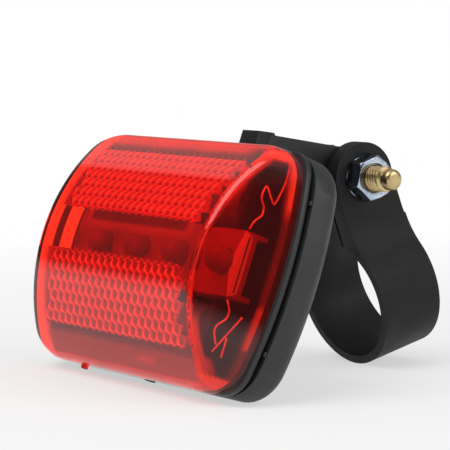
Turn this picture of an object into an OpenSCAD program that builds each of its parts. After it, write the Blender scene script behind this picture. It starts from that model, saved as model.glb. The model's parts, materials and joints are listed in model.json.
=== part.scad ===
// Bicycle rear light: red prism lens over five diodes, dark case, slide-on bracket and tube clamp.
// Sizes are in millimetres, +Z is up off the table and the lens faces -Y, leaned back.
// The frame's origin is the centre of the clamp bore.

/* [Lens] */
// Half width of the lens at its rim
lens_half_w = 37; // [30:0.1:44]
// Half height of the lens
lens_half_h = 23.5; // [19:0.1:28]
// Depth of the lens in front of its rim, at the middle
lens_depth = 12.9; // [10:0.1:16]
// Depth of the lens at its top and bottom edges
lens_shoulder = 3.1; // [2.6:0.1:4]
// Inward slope of the end faces, mm per mm of depth
end_slope = 0.707; // [0.4:0.01:0.9]
// Radius in plan of the bowed ends
side_r = 72; // [60:1:120]
// Radius of the four corners
corner_r = 6; // [4:0.1:8]
// Wall thickness of the lens
lens_wall = 1.6; // [1.2:0.1:2.2]
// Pitch of the reflector prisms along a row
prism_pitch = 2.36; // [1.9:0.02:2.8]
// Rows of prisms in the upper panel
upper_rows = 7; // [5:1:8]
// Rows of prisms in the lower panel
lower_rows = 7; // [5:1:8]
// Height at which the upper panel starts
upper_from = 5.1; // [4.5:0.1:7]
// Depth below the middle at which the lower panel starts
lower_from = 2.7; // [2.4:0.1:5]
// Margin between a panel and the edge of the front face
panel_margin = 4; // [3:0.1:9]
// Solid web under the prisms
prism_base = 0.15; // [0.1:0.05:0.4]

/* [Front frame] */
// Step of the frame lip beyond the lens at its ends
lip_side = 0.9; // [0.7:0.1:1.6]
// Step of the lens beyond the frame lip at top and bottom
lip_drop = 0.3; // [0:0.1:0.6]
// Thickness of the frame lip
lip_t = 1.2; // [0.8:0.1:1.6]
// Rim of the frame inside the lens at its ends
opening_side = 2.8; // [2.6:0.1:4]
// Rim of the frame inside the lens at top and bottom
opening_rise = 3.5; // [3.4:0.1:4.5]
// Wall of the skirt that plugs into the case
skirt_wall = 1.2; // [0.8:0.1:1.6]
// Depth of the skirt in the case
skirt_depth = 2.6; // [1.6:0.1:3.4]

/* [Case] */
// Step of the case beyond the lens at its ends
case_side = 1.4; // [1.2:0.1:2.4]
// Step of the lens beyond the case at top and bottom
case_drop = 0.4; // [0:0.1:0.5]
// Corner radius of the case
case_corner_r = 8.5; // [6:0.1:9]
// Front edge of the case behind the lens rim
case_front = 2; // [1.8:0.1:2.6]
// Back face of the case behind the lens rim
case_back = 9; // [8.6:0.1:12]
// Back wall of the case
case_wall = 1.6; // [1.2:0.1:2]
// Radius of the rounded back edges
case_fillet = 3.6; // [1.5:0.1:3.8]
// Gap round the skirt in the case
skirt_gap = 0.4; // [0.3:0.05:0.6]
// Thickness of the sealing ring
seal_t = 0.7; // [0.5:0.05:0.75]
// Height of the notch tabs above and below the middle
tab_z = 14.2; // [10:0.1:16]

/* [Diodes] */
// Distance of the end diodes from the ends of their holder
led_end = 4; // [3.6:0.1:5]
// Radius of a diode dome
led_r = 2.4; // [2:0.1:2.5]
// Length of a diode in front of its board
led_len = 6.2; // [5.6:0.1:6.4]
// Distance of the holder's ends from the lens rim
holder_end = 6.6; // [6.4:0.1:8]
// Half height of the diode holder
holder_half_h = 6.2; // [5.8:0.1:6.3]
// Front face of the holder ahead of the lens rim
holder_front = 5.6; // [5.2:0.1:5.8]
// Wall of the holder
holder_wall = 1; // [0.8:0.1:1.2]
// Thickness of the circuit board
board_t = 1.2; // [0.8:0.1:1.6]

/* [Batteries] */
// Radius of a small round battery
battery_r = 5.25; // [5:0.05:5.3]
// Length of the battery can without its nub
battery_len = 43.5; // [42:0.1:43.8]
// Length of the nub
nub_len = 1; // [0.8:0.1:1.2]
// Gap between a battery and the top or bottom of the case
battery_edge = 4.45; // [4.2:0.05:4.6]
// Distance of the contact plates right of the middle
contact_x = 23; // [22:0.1:24]
// Thickness of the contact plates
contact_t = 0.4; // [0.3:0.05:0.6]
// Width of a contact plate
contact_w = 8.8; // [8:0.1:9.6]
// Length of a contact spring when loaded
spring_len = 2.9; // [2.4:0.1:3.2]
// Radius of the spring wire
wire_r = 0.3; // [0.25:0.01:0.35]

/* [Mode button] */
// Radius of the button nub
button_r = 1.35; // [1:0.05:1.5]
// Distance of the button from the lens rim
button_y = 3.9; // [3.8:0.1:4.4]
// Height of the nub below the case
button_out = 0.35; // [0.2:0.05:0.4]
// Travel of the button
button_travel = 0.8; // [0.5:0.1:0.9]

/* [Bracket] */
// Width of the bracket arm
arm_w = 8.5; // [7:0.1:10]
// Height of the arm above the middle of the lamp, at its front
arm_top = 29.4; // [28:0.1:32]
// Radius of the knuckle at the end of the arm
knuckle_r = 5.8; // [5.4:0.1:6]
// Thickness of the slide plate
plate_t = 3; // [2.6:0.1:3.6]
// Width of the slide plate
plate_w = 18; // [16:0.5:22]
// Running gap between plate and rails
slide_gap = 0.3; // [0.2:0.05:0.5]
// Lower end of the slide plate below the middle
plate_low = 15.7; // [12:0.1:18]
// Distance of the hinge bolt behind the lens rim
hinge_y = 33.2; // [32:0.1:36]
// Height of the hinge bolt above the middle of the lamp
hinge_z = 28.1; // [27:0.1:29]

/* [Clamp] */
// Inner radius of the clamp band
bore_r = 12.1; // [11.6:0.1:12.8]
// Thickness of the clamp band
band_t = 1.6; // [1.4:0.1:2.2]
// Width of the clamp band along its axis
band_w = 14.1; // [12:0.1:16]
// Angle of the bore axis above the lamp's depth axis
clamp_tilt = 35.9; // [30:0.1:42]
// Height of the bolt above the bore axis
bolt_up = 24.5; // [23.8:0.1:26]
// Distance of the bolt ahead of the middle of the band
bolt_ahead = 1; // [0:0.1:2]
// Thickness of an ear
ear_t = 3.5; // [3:0.1:4.5]
// Rounding radius of the right ear
ear_r = 7; // [6.5:0.1:7.5]
// Radius of the hollow between ear and band
flare_r = 14; // [10:0.5:18]
// Width of the split in the band
split_w = 0.6; // [0.4:0.1:1]
// Radius of the clamp bolt
bolt_r = 2.5; // [2.4:0.05:2.6]
// Radial clearance of the bolt in its holes
bolt_gap = 0.05; // [0.02:0.01:0.1]
// Length of the bolt past the right ear
bolt_out = 9.8; // [8.5:0.1:11]
// Thread pitch of the bolt
thread_pitch = 0.8; // [0.7:0.1:1]
// Width of the nut across its flats
nut_af = 8; // [7.8:0.1:8.2]
// Thickness of the nut
nut_t = 4; // [3.5:0.1:4.2]

/* [Hidden] */
$fn = 96;

// Lens figures
lens_sag = lens_depth - lens_shoulder;
front_r = (lens_half_h * lens_half_h + lens_sag * lens_sag) / (2 * lens_sag);
front_y = front_r - lens_depth;
slant = sqrt(1 + end_slope * end_slope);
inner_r = front_r - lens_wall;
hex_s = prism_pitch / sqrt(3);
row_step = 1.5 * hex_s;
prism_h = prism_pitch / sqrt(6);
embed = 0.6 * lens_wall;

// Outlines that follow the lens rim
lip_half_w = lens_half_w + lip_side;
lip_half_h = lens_half_h - lip_drop;
case_half_w = lens_half_w + case_side;
case_half_h = lens_half_h - case_drop;
opening_half_w = lens_half_w - opening_side;
opening_half_h = lens_half_h - opening_rise;

// Case figures
skirt_out_w = opening_half_w + skirt_wall;
skirt_out_h = opening_half_h + skirt_wall;
cavity_w = skirt_out_w + skirt_gap;
cavity_h = skirt_out_h + skirt_gap;
cavity_back = case_back - case_wall;

// Battery figures
battery_y = cavity_back - battery_r - 0.2;
battery_z = cavity_h - battery_r - battery_edge;
link_x = contact_x - nub_len - battery_len - spring_len;
end_wall = 1.4;
end_half_h = battery_z + battery_r - 0.15;
cell_clear = battery_r + 0.3;

// Diode and board figures: holder and board stay clear of the cells
holder_half_w = lens_half_w - holder_end;
led_pitch = (holder_half_w - led_end) / 2;
plate_back = -holder_front + holder_wall;
board_front = plate_back + 1.2;
board_back = board_front + board_t;
holder_back = min(-0.4, battery_y
    - sqrt(max(0, pow(cell_clear, 2) - pow(max(0, battery_z - holder_half_h), 2))));
board_half_h = min(holder_half_h - holder_wall, battery_z
    - sqrt(max(0, pow(cell_clear, 2) - pow(battery_y - board_back, 2))));
wall_front = max(holder_back, board_back + 0.3);

// Button figures
button_flange_top = -cavity_h + 0.3;
switch_low = button_flange_top + button_travel + 0.3;

// Bracket figures
plate_front = case_back + slide_gap;
plate_back_y = plate_front + plate_t;
lip_front = plate_back_y + slide_gap;
rail_t = 1.4;
rail_w = 2.2;
rail_top = 12;
rail_low = plate_low + 0.3;

// Clamp figures
band_r = bore_r + band_t;
tongue_gap = 0.15;
ear_in = arm_w / 2 + tongue_gap;
ear_out = ear_in + ear_t;
block_top = bolt_up - knuckle_r - 0.5;
flare_z = sqrt(pow(band_r + flare_r, 2) - pow(ear_out + flare_r, 2));
bore_y = hinge_y + bolt_ahead * cos(clamp_tilt) + bolt_up * sin(clamp_tilt);
bore_z = hinge_z + bolt_ahead * sin(clamp_tilt) - bolt_up * cos(clamp_tilt);

// Resting figures: the back bottom edge of the case and the near rim of the band stand on the table
rim_y = bore_y - band_w / 2 * cos(clamp_tilt) + band_r * sin(clamp_tilt);
rim_z = bore_z - band_w / 2 * sin(clamp_tilt) - band_r * cos(clamp_tilt);
foot_y = case_back - case_fillet;
foot_z = -case_half_h + case_fillet;
foot_d = sqrt(pow(rim_y - foot_y, 2) + pow(rim_z - foot_z, 2));
lean = atan2(rim_z - foot_z, rim_y - foot_y) + asin(case_fillet / foot_d);

function side_x(w, sr, z) = w - sr + sqrt(sr * sr - z * z);
function corner_x(w, h, sr, cr) = w - sr + sqrt(pow(sr - cr, 2) - pow(h - cr, 2));

// Turns a shape from the lamp's own axes to the resting pose
module seated() {
    rotate([-lean, 0, 0]) translate([0, -bore_y, -bore_z]) children();
}

// Turns a shape from the clamp's own axes (Y along the bore, Z to the bolt) to the resting pose
module clamped() {
    rotate([clamp_tilt - lean, 0, 0]) children();
}

// Extrudes an X-Z outline from y0 to y1
module along_y(y0, y1) {
    translate([0, y1, 0]) rotate([90, 0, 0]) linear_extrude(y1 - y0) children();
}

// Extrudes a Y-Z outline across the width
module across_x(half_w) {
    translate([-half_w, 0, 0]) rotate([90, 0, 90]) linear_extrude(2 * half_w) children();
}

// Quarter in which a corner is round, from where it leaves the bowed end to the top
module corner_wedge(h, sr, cr) {
    a = asin((h - cr) / (sr - cr));
    polygon([[0, 0], [3 * cr * cos(a), 3 * cr * sin(a)], [3 * cr, 3 * cr], [0, 3 * cr]]);
}

// Outline with bowed ends and round corners
module outline(w, h, sr, cr) {
    difference() {
        intersection() {
            translate([w - sr, 0]) circle(r = sr, $fn = 240);
            translate([sr - w, 0]) circle(r = sr, $fn = 240);
            square([2 * w + 4, 2 * h], center = true);
        }
        for (a = [0, 1], b = [0, 1]) mirror([a, 0]) mirror([0, b])
            translate([corner_x(w, h, sr, cr), h - cr]) difference() {
                corner_wedge(h, sr, cr);
                circle(r = cr + 0.02);
            }
    }
}

// One reflector panel: corner-cube prisms on a hexagonal lattice wrapped on the curved wall
function lattice(q, j, f, r, v0) =
    let (v = v0 + j * row_step + (((q + j) % 2 == 0) ? -0.25 : 0.25) * hex_s, a = v * 180 / (PI * inner_r))
    [q * prism_pitch / 2, front_y - r * cos(a), f * r * sin(a)];
function row_limit(j, v0) =
    let (a = (v0 + (j + 0.5) * row_step) * 180 / (PI * inner_r), z = front_r * sin(a))
    side_x(lens_half_w, side_r, z) - end_slope * (front_r * cos(a) - front_y) - panel_margin;
function has_cell(q, j, rows, v0) =
    j >= 0 && j < rows && abs(q + j) % 2 == 0 &&
    abs(q * prism_pitch / 2) + prism_pitch / 2 <= row_limit(j, v0);

module prism_panel(rows, from, f) {
    v0 = inner_r * asin(from / inner_r) * PI / 180 + 0.25 * hex_s;
    n = ceil(2 * lens_half_w / prism_pitch);
    wide = 2 * n + 1;
    flat = (rows + 1) * wide;
    r_base = inner_r - prism_base;
    skin = inner_r + embed;
    low = [for (j = [0:rows], q = [-n:n])
        lattice(q, j, f, r_base - ((abs(q + j) % 2 == 0) ? 0 : prism_h), v0)];
    back = [for (j = [0:rows], q = [-n:n]) lattice(q, j, f, skin, v0)];
    tips = [for (j = [0:rows - 1], q = [-n:n])
        let (v = v0 + (j + 0.5) * row_step, a = v * 180 / (PI * inner_r), r = r_base - 2 * prism_h)
        [q * prism_pitch / 2, front_y - r * cos(a), f * r * sin(a)]];
    cells = [for (j = [0:rows - 1], q = [-n + 1:n - 1]) if (has_cell(q, j, rows, v0)) [q, j]];
    faces = [for (c = cells)
        let (q = c[0] + n, j = c[1], o = 2 * flat + j * wide + q,
             ring = [j * wide + q, j * wide + q + 1, (j + 1) * wide + q + 1,
                     (j + 1) * wide + q, (j + 1) * wide + q - 1, j * wide + q - 1],
             open = [!has_cell(c[0] + 1, j - 1, rows, v0), !has_cell(c[0] + 2, j, rows, v0),
                     !has_cell(c[0] + 1, j + 1, rows, v0), !has_cell(c[0] - 1, j + 1, rows, v0),
                     !has_cell(c[0] - 2, j, rows, v0), !has_cell(c[0] - 1, j - 1, rows, v0)])
        each concat(
            [for (k = [0:5]) [o, ring[k], ring[(k + 1) % 6]]],
            [for (k = [1:4]) [ring[0] + flat, ring[k + 1] + flat, ring[k] + flat]],
            [for (k = [0:5]) if (open[k]) [ring[(k + 1) % 6], ring[k], ring[k] + flat]],
            [for (k = [0:5]) if (open[k])
                [ring[(k + 1) % 6], ring[k] + flat, ring[(k + 1) % 6] + flat]])];
    polyhedron(points = concat(low, back, tips),
               faces = (f > 0) ? faces : [for (t = faces) [t[0], t[2], t[1]]], convexity = 6);
}

// Everything inside one sloping, bowed end face
module lens_end(sr, back) {
    translate([lens_half_w - side_r, back, 0]) rotate([90, 0, 0])
        cylinder(h = lens_depth + back + 1, r1 = sr + back * end_slope,
                 r2 = sr - (lens_depth + 1) * end_slope, $fn = 240);
}

// Block under the curved front, inset by d, reaching back to y = back
module lens_block(d, back) {
    h = lens_half_h - d;
    sr = side_r - d * slant;
    cr = corner_r - d;
    difference() {
        intersection() {
            across_x(lens_half_w + 1) intersection() {
                translate([front_y, 0]) circle(r = front_r - d, $fn = 240);
                translate([-lens_depth - 1, -h]) square([lens_depth + 1 + back, 2 * h]);
            }
            lens_end(sr, back);
            mirror([1, 0, 0]) lens_end(sr, back);
        }
        for (a = [0, 1], b = [0, 1]) mirror([a, 0, 0]) mirror([0, 0, b])
            along_y(-2 * lens_depth, back + 1)
                translate([corner_x(lens_half_w, lens_half_h, side_r, corner_r),
                           lens_half_h - corner_r]) difference() {
                    corner_wedge(lens_half_h, side_r, corner_r);
                    circle(r = cr + 0.02);
                }
    }
}

module lens() {
    color([0.86, 0.08, 0.05, 0.75]) seated() {
        difference() {
            lens_block(0, 0);
            lens_block(lens_wall, 1);
        }
        prism_panel(upper_rows, upper_from, 1);
        prism_panel(lower_rows, lower_from, -1);
        translate([-15.7, -1.3, -lens_half_h + 0.4]) mirror([0, 0, 1]) cylinder(h = 1.3, r = 0.75);
    }
}

module front_frame() {
    color([0.2, 0.2, 0.21]) seated() difference() {
        union() {
            along_y(0, lip_t) outline(lip_half_w, lip_half_h, side_r, corner_r + 0.4);
            along_y(lip_t / 2, lip_t + skirt_depth)
                outline(skirt_out_w, skirt_out_h, side_r - 4, corner_r - 1);
        }
        along_y(-1, lip_t + skirt_depth + 1)
            outline(opening_half_w, opening_half_h, side_r - 5, corner_r - 2);
        // Clearance over the button and its switch
        translate([-6, lip_t, -lip_half_h - 1]) cube([12, skirt_depth + 1, 8]);
    }
}

module case_seal() {
    color([0.06, 0.06, 0.06]) seated() difference() {
        along_y(case_front - seal_t, case_front)
            outline(lip_half_w - 1.1, lip_half_h - 0.9, side_r, corner_r);
        along_y(case_front - seal_t - 1, case_front + 1)
            outline(cavity_w, cavity_h, side_r - 4, corner_r - 1);
    }
}

// Everything inside one bowed end of the case, its back edge rounded
module case_end() {
    f = case_fillet;
    t = case_back - case_front;
    translate([case_half_w - side_r, case_front, 0]) rotate([-90, 0, 0])
        rotate_extrude($fn = 240) {
            square([side_r, t - f]);
            square([side_r - f, t]);
            translate([side_r - f, t - f]) circle(r = f);
        }
}

// Outer form of the case: slab and bowed ends with rounded back edges, corners rounded in plan
module case_block() {
    f = case_fillet;
    t = case_back - case_front;
    cr = case_corner_r;
    cx = corner_x(case_half_w, case_half_h, side_r, cr);
    cz = case_half_h - cr;
    difference() {
        intersection() {
            across_x(case_half_w + 1) translate([case_front, 0]) {
                square([2 * (t - f), 2 * case_half_h], center = true);
                translate([0, -case_half_h + f]) square([t, 2 * (case_half_h - f)]);
                for (s = [-1, 1]) translate([t - f, s * (case_half_h - f)]) circle(r = f);
            }
            case_end();
            mirror([1, 0, 0]) case_end();
        }
        for (a = [0, 1], b = [0, 1]) mirror([a, 0, 0]) mirror([0, 0, b])
            translate([cx, case_front, cz]) {
                along_y(-1, t + 1) difference() {
                    corner_wedge(case_half_h, side_r, cr);
                    circle(r = cr + 0.02);
                }
                // Rounds the back edge of the corner
                intersection() {
                    rotate([-90, 0, 0]) rotate_extrude() difference() {
                        translate([cr - f, t - f]) square([f + 1, f + 1]);
                        translate([cr - f, t - f]) circle(r = f + 0.01);
                    }
                    along_y(0, t + 2) corner_wedge(case_half_h, side_r, cr);
                }
            }
        translate([-2 * case_half_w, case_front - 2 * t, -2 * case_half_h])
            cube([4 * case_half_w, 2 * t, 4 * case_half_h]);
    }
}

module rear_case() {
    color([0.17, 0.17, 0.18]) seated() difference() {
        union() {
            difference() {
                case_block();
                along_y(case_front - 1, cavity_back)
                    outline(cavity_w, cavity_h, side_r - 4, corner_r - 1);
            }
            // End walls that carry the battery contacts
            translate([contact_x + contact_t, wall_front, -end_half_h])
                cube([end_wall, cavity_back - wall_front + 0.5, 2 * end_half_h]);
            translate([link_x - contact_t - end_wall, wall_front, -end_half_h])
                cube([end_wall, cavity_back - wall_front + 0.5, 2 * end_half_h]);
            for (x = [contact_x + contact_t, link_x - contact_t - end_wall], s = [0, 1])
                mirror([0, 0, s]) translate([x, battery_y - battery_r - 0.2, holder_half_h + 0.4])
                    cube([end_wall, 6, end_half_h - holder_half_h - 0.4]);
            // Posts behind the circuit board
            for (s = [-1, 1]) translate([s * led_pitch, board_back, 0]) rotate([-90, 0, 0])
                cylinder(h = cavity_back - board_back + 0.5, r = 1.8);
            // Rib between the batteries
            translate([-15, 3, -0.6]) cube([30, cavity_back - 2.5, 1.2]);
            // Slide rails and stop for the bracket
            for (s = [0, 1]) mirror([s, 0, 0]) {
                translate([plate_w / 2 + slide_gap, case_back - 0.5, -rail_low])
                    cube([rail_w, lip_front + rail_t - case_back + 0.5, rail_low + rail_top]);
                translate([plate_w / 2 - 2, lip_front, -rail_low])
                    cube([2.5, rail_t, rail_low + rail_top]);
            }
            translate([-plate_w / 2 - 2, case_back - 0.5, -rail_low - 1.4])
                cube([plate_w + 4, 4, 1.4]);
            // Notch tabs in the seam
            for (s = [-1, 1], t = [0, 1]) mirror([t, 0, 0])
                translate([side_x(case_half_w, side_r, tab_z) - 1.1, case_front - 0.5, s * tab_z - 0.4])
                    cube([0.9, 1, 0.8]);
        }
        // Hole of the mode button
        translate([0, button_y, -case_half_h - 1])
            cylinder(h = case_half_h - cavity_h + 2, r = button_r + 0.3);
    }
}

module led_holder() {
    color([0.9, 0.9, 0.92]) seated() difference() {
        translate([-holder_half_w, -holder_front, -holder_half_h])
            cube([2 * holder_half_w, holder_front + holder_back, 2 * holder_half_h]);
        translate([-holder_half_w + holder_wall, plate_back, -holder_half_h + holder_wall])
            cube([2 * (holder_half_w - holder_wall), holder_front, 2 * (holder_half_h - holder_wall)]);
        for (k = [-2:2]) translate([k * led_pitch, -holder_front - 1, 0]) rotate([-90, 0, 0])
            cylinder(h = 4, r = led_r + 0.1);
        // Windows that leave a C-shaped frame at each end
        for (s = [0, 1]) mirror([s, 0, 0])
            translate([holder_half_w - holder_wall - 1, plate_back, 0]) {
                translate([0, 0, 1 - holder_half_h]) cube([4, 0.9, 2 * holder_half_h - 2]);
                translate([0, 2, 1 - holder_half_h]) cube([4, 6, 2 * holder_half_h - 2]);
            }
    }
}

module led(k) {
    color([0.93, 0.9, 0.88, 0.9]) seated() translate([k * led_pitch, board_front, 0])
        rotate([90, 0, 0]) {
            cylinder(h = 1, r = led_r + 0.5);
            cylinder(h = led_len - led_r, r = led_r);
            translate([0, 0, led_len - led_r]) sphere(r = led_r);
        }
}

module led_1() { led(-2); }
module led_2() { led(-1); }
module led_3() { led(0); }
module led_4() { led(1); }
module led_5() { led(2); }

module circuit_board() {
    color([0.1, 0.35, 0.16]) seated()
        translate([-holder_half_w + 2 * holder_wall, board_front, -board_half_h])
            cube([2 * (holder_half_w - 2 * holder_wall), board_t, 2 * board_half_h]);
}

module control_chip() {
    color([0.08, 0.08, 0.09]) seated() {
        translate([led_pitch / 2 - 2.45, board_back, -2]) cube([4.9, 1.2, 3.9]);
        for (s = [-1, 1], k = [0:3])
            translate([led_pitch / 2 - 2.15 + 1.27 * k, board_back, s * 2.3 - 0.3]) cube([0.4, 0.5, 0.7]);
    }
}

module mode_switch() {
    color([0.75, 0.75, 0.77]) seated() {
        translate([-3, button_y - 1.6, switch_low]) cube([6, cavity_back - button_y + 1.6, 1.6]);
        translate([0, button_y, switch_low - 0.2]) cylinder(h = 1, r = 1.2);
    }
}

module battery(x0, z, s) {
    color([0.55, 0.1, 0.1]) seated() translate([x0, battery_y, z]) mirror([s, 0, 0])
        rotate([0, 90, 0]) {
            cylinder(h = battery_len, r = battery_r);
            translate([0, 0, battery_len - 0.01]) cylinder(h = nub_len + 0.01, r = 1.9);
        }
}

module battery_1() { battery(contact_x - nub_len - battery_len, battery_z, 0); }
module battery_2() { battery(link_x + nub_len + battery_len, -battery_z, 1); }

// Conical coil spring along +X, wound from a round wire
module coil(x0, x1, z) {
    turns = 3;
    steps = 14;
    wire = wire_r;
    n = turns * steps;
    function ringp(i) =
        let (a = 360 * i / steps, r = (0.41 - 0.16 * i / n) * contact_w, x = x0 + (x1 - x0) * i / n)
        [for (k = [0:5]) let (b = 60 * k, rr = r + wire * cos(b))
            [x + wire * sin(b), battery_y + rr * cos(a), z + rr * sin(a)]];
    pts = [for (i = [0:n]) each ringp(i)];
    polyhedron(points = pts, faces = concat([[0, 1, 2, 3, 4, 5]],
        [for (i = [0:n - 1], k = [0:5])
            let (a = 6 * i + k, b = 6 * i + (k + 1) % 6) each [[a, a + 6, b + 6], [a, b + 6, b]]],
        [[for (k = [5:-1:0]) 6 * n + k]]), convexity = 8);
}

module contact_spring_1() {
    color([0.8, 0.8, 0.78]) seated()
        coil(link_x + wire_r + 0.02, link_x + spring_len - wire_r - 0.02, battery_z);
}

module contact_spring_2() {
    color([0.8, 0.8, 0.78]) seated()
        coil(contact_x - wire_r - 0.02, link_x + nub_len + battery_len + wire_r + 0.02, -battery_z);
}

module contact_plate(z) {
    color([0.8, 0.8, 0.78]) seated() translate([contact_x, battery_y - contact_w / 2, z - contact_w / 2])
        cube([contact_t, contact_w, contact_w]);
}

module contact_plate_1() { contact_plate(battery_z); }
module contact_plate_2() { contact_plate(-battery_z); }

module contact_link() {
    color([0.8, 0.8, 0.78]) seated()
        translate([link_x - contact_t, wall_front + 0.3, -battery_z - contact_w / 2])
            cube([contact_t, 0.75 * contact_w, 2 * battery_z + contact_w]);
}

module mode_button() {
    color([0.07, 0.07, 0.07]) seated() {
        translate([0, button_y, -case_half_h - button_out + 0.4])
            cylinder(h = case_half_h + button_out - 0.4 + button_flange_top, r = button_r);
        translate([0, button_y, -case_half_h - button_out])
            cylinder(h = 0.4, r1 = button_r - 0.4, r2 = button_r);
        translate([-3.4, button_y - 1.8, -cavity_h + 0.05])
            cube([6.8, 3.6, button_flange_top + cavity_h - 0.05]);
    }
}

module bracket_arm() {
    top_end = hinge_z + knuckle_r - 1.1;
    color([0.19, 0.19, 0.2]) seated() difference() {
        union() {
            // Slide plate
            translate([-plate_w / 2, plate_front, -plate_low])
                cube([plate_w, plate_t, plate_low + case_half_h - 4]);
            // Arm from the plate to the knuckle
            across_x(arm_w / 2) polygon([[plate_front, 8], [plate_back_y + 0.6, 12],
                [hinge_y - 3.2, hinge_z - knuckle_r + 0.7], [hinge_y, hinge_z],
                [hinge_y - 0.6, hinge_z + knuckle_r - 0.4], [plate_back_y, arm_top + 0.1],
                [plate_back_y - 0.4, arm_top + 0.5], [plate_front, arm_top]]);
            translate([-arm_w / 2, hinge_y, hinge_z]) rotate([0, 90, 0])
                cylinder(h = arm_w, r = knuckle_r);
            // Tooth on the knuckle
            translate([-0.4, hinge_y - 4.2, hinge_z + 2]) cube([0.8, 0.6, knuckle_r - 2.7]);
        }
        // Bevels at the front of the arm
        for (s = [0, 1]) mirror([s, 0, 0]) translate([0, 0, case_half_h - 3.8]) linear_extrude(20)
            polygon([[arm_w / 2 - 1.45, plate_front - 0.1], [arm_w / 2 + 1, plate_front - 0.1],
                     [arm_w / 2 + 1, plate_front + 3.5]]);
        translate([-arm_w, hinge_y, hinge_z]) rotate([0, 90, 0])
            cylinder(h = 2 * arm_w, r = bolt_r + bolt_gap);
    }
}

// Side view of the ears: band width below, round about the bolt above
module ear_side(r) {
    translate([-bolt_ahead, bolt_up]) circle(r = r);
    polygon([[-band_w / 2, -2 * band_r], [-band_w / 2, bore_r], [-bolt_ahead - r, bolt_up - 2],
             [-bolt_ahead - r, bolt_up], [-bolt_ahead + r, bolt_up], [-bolt_ahead + r, bolt_up - 2],
             [band_w / 2, bore_r], [band_w / 2, -2 * band_r]]);
}

module clamp_ring() {
    color([0.13, 0.13, 0.14]) clamped() difference() {
        intersection() {
            along_y(-band_w, band_w) difference() {
                union() {
                    circle(r = band_r);
                    // Ears, the block under the tongue and the hollows that run into the band
                    translate([-ear_out, 0]) square([2 * ear_out, bolt_up + ear_r + 1]);
                    for (s = [0, 1]) mirror([s, 0]) difference() {
                        polygon([[0, 0], [(ear_out + flare_r) * band_r / (band_r + flare_r),
                            flare_z * band_r / (band_r + flare_r)], [ear_out + 2, flare_z],
                            [0, flare_z]]);
                        translate([ear_out + flare_r, flare_z]) circle(r = flare_r);
                    }
                }
                circle(r = bore_r);
                translate([-ear_in, block_top]) square([2 * ear_in, bolt_up]);
                translate([ear_in - split_w, 0]) square([split_w, bolt_up]);
            }
            union() {
                across_x(ear_out + 1) ear_side(ear_r);
                along_y(-band_w / 2, band_w / 2) circle(r = band_r + 3);
            }
        }
        // The far ear is a little lower than the near one
        difference() {
            translate([-ear_out - 1, -band_w, bolt_up - 1])
                cube([ear_out + 1 - ear_in + 0.1, 2 * band_w, 12]);
            translate([-ear_out - 2, -bolt_ahead, bolt_up]) rotate([0, 90, 0])
                cylinder(h = ear_out + 2, r = ear_r - 1);
        }
        // Bolt hole
        translate([-20, -bolt_ahead, bolt_up]) rotate([0, 90, 0])
            cylinder(h = 40, r = bolt_r + bolt_gap);
        // Seat of the bolt head
        translate([-ear_out - 1, -bolt_ahead, bolt_up]) rotate([0, 90, 0])
            cylinder(h = 1.6, r = nut_af / sqrt(3) + 0.2);
        // Shallow seat of the nut
        translate([ear_out - 0.4, -bolt_ahead, bolt_up]) rotate([0, 90, 0])
            cylinder(h = 3, r = nut_af / sqrt(3) + 0.3);
    }
}

module clamp_bolt() {
    head_x = -ear_out + 0.6;
    thread_x = ear_out - 0.4 + nut_t;
    tip_x = ear_out + bolt_out;
    dog = 2.3;
    turns = floor((tip_x - dog - 0.6 - thread_x) / thread_pitch);
    p = thread_pitch;
    color([0.78, 0.68, 0.36]) clamped() translate([0, -bolt_ahead, bolt_up]) rotate([0, 90, 0]) {
        translate([0, 0, head_x]) cylinder(h = thread_x - head_x, r = bolt_r);
        translate([0, 0, head_x - 3.4]) cylinder(h = 3.4, r = nut_af / sqrt(3), $fn = 6);
        // Thread past the nut
        rotate_extrude() polygon(concat([[0, thread_x]],
            [for (k = [0:turns - 1]) each [[bolt_r, thread_x + k * p], [bolt_r, thread_x + (k + 0.25) * p],
                [bolt_r - 0.4, thread_x + (k + 0.6) * p], [bolt_r, thread_x + (k + 0.95) * p]]],
            [[bolt_r, tip_x - dog - 0.5], [2.1, tip_x - dog], [2.1, tip_x - 0.6], [1.5, tip_x],
             [0, tip_x]]));
    }
}

module clamp_nut() {
    e = nut_af / sqrt(3);
    color([0.72, 0.75, 0.8]) clamped() translate([ear_out - 0.4, -bolt_ahead, bolt_up])
        rotate([0, 90, 0]) difference() {
            intersection() {
                rotate([0, 0, 33]) cylinder(h = nut_t, r = e, $fn = 6);
                rotate_extrude() polygon([[0, 0], [e - 0.25, 0], [e + 0.2, 0.3], [e + 0.2, nut_t - 0.5],
                                          [e - 0.6, nut_t], [0, nut_t]]);
            }
            translate([0, 0, -1]) cylinder(h = nut_t + 2, r = bolt_r);
        }
}

rear_case();
case_seal();
led_holder();
led_1();
led_2();
led_3();
led_4();
led_5();
circuit_board();
control_chip();
mode_switch();
battery_1();
battery_2();
contact_spring_1();
contact_spring_2();
contact_plate_1();
contact_plate_2();
contact_link();
lens();
front_frame();
mode_button();
bracket_arm();
clamp_ring();
clamp_bolt();
clamp_nut();
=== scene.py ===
"""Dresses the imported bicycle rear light: lens, mouldings, metal, inside and studio."""
import json
import math

import bmesh
import bpy
import numpy as np
from bpy.props import FloatProperty, FloatVectorProperty, IntProperty, PointerProperty
from bpy.types import Operator, Panel, PropertyGroup
from mathutils import Matrix, Vector
from mathutils.geometry import delaunay_2d_cdt

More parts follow.
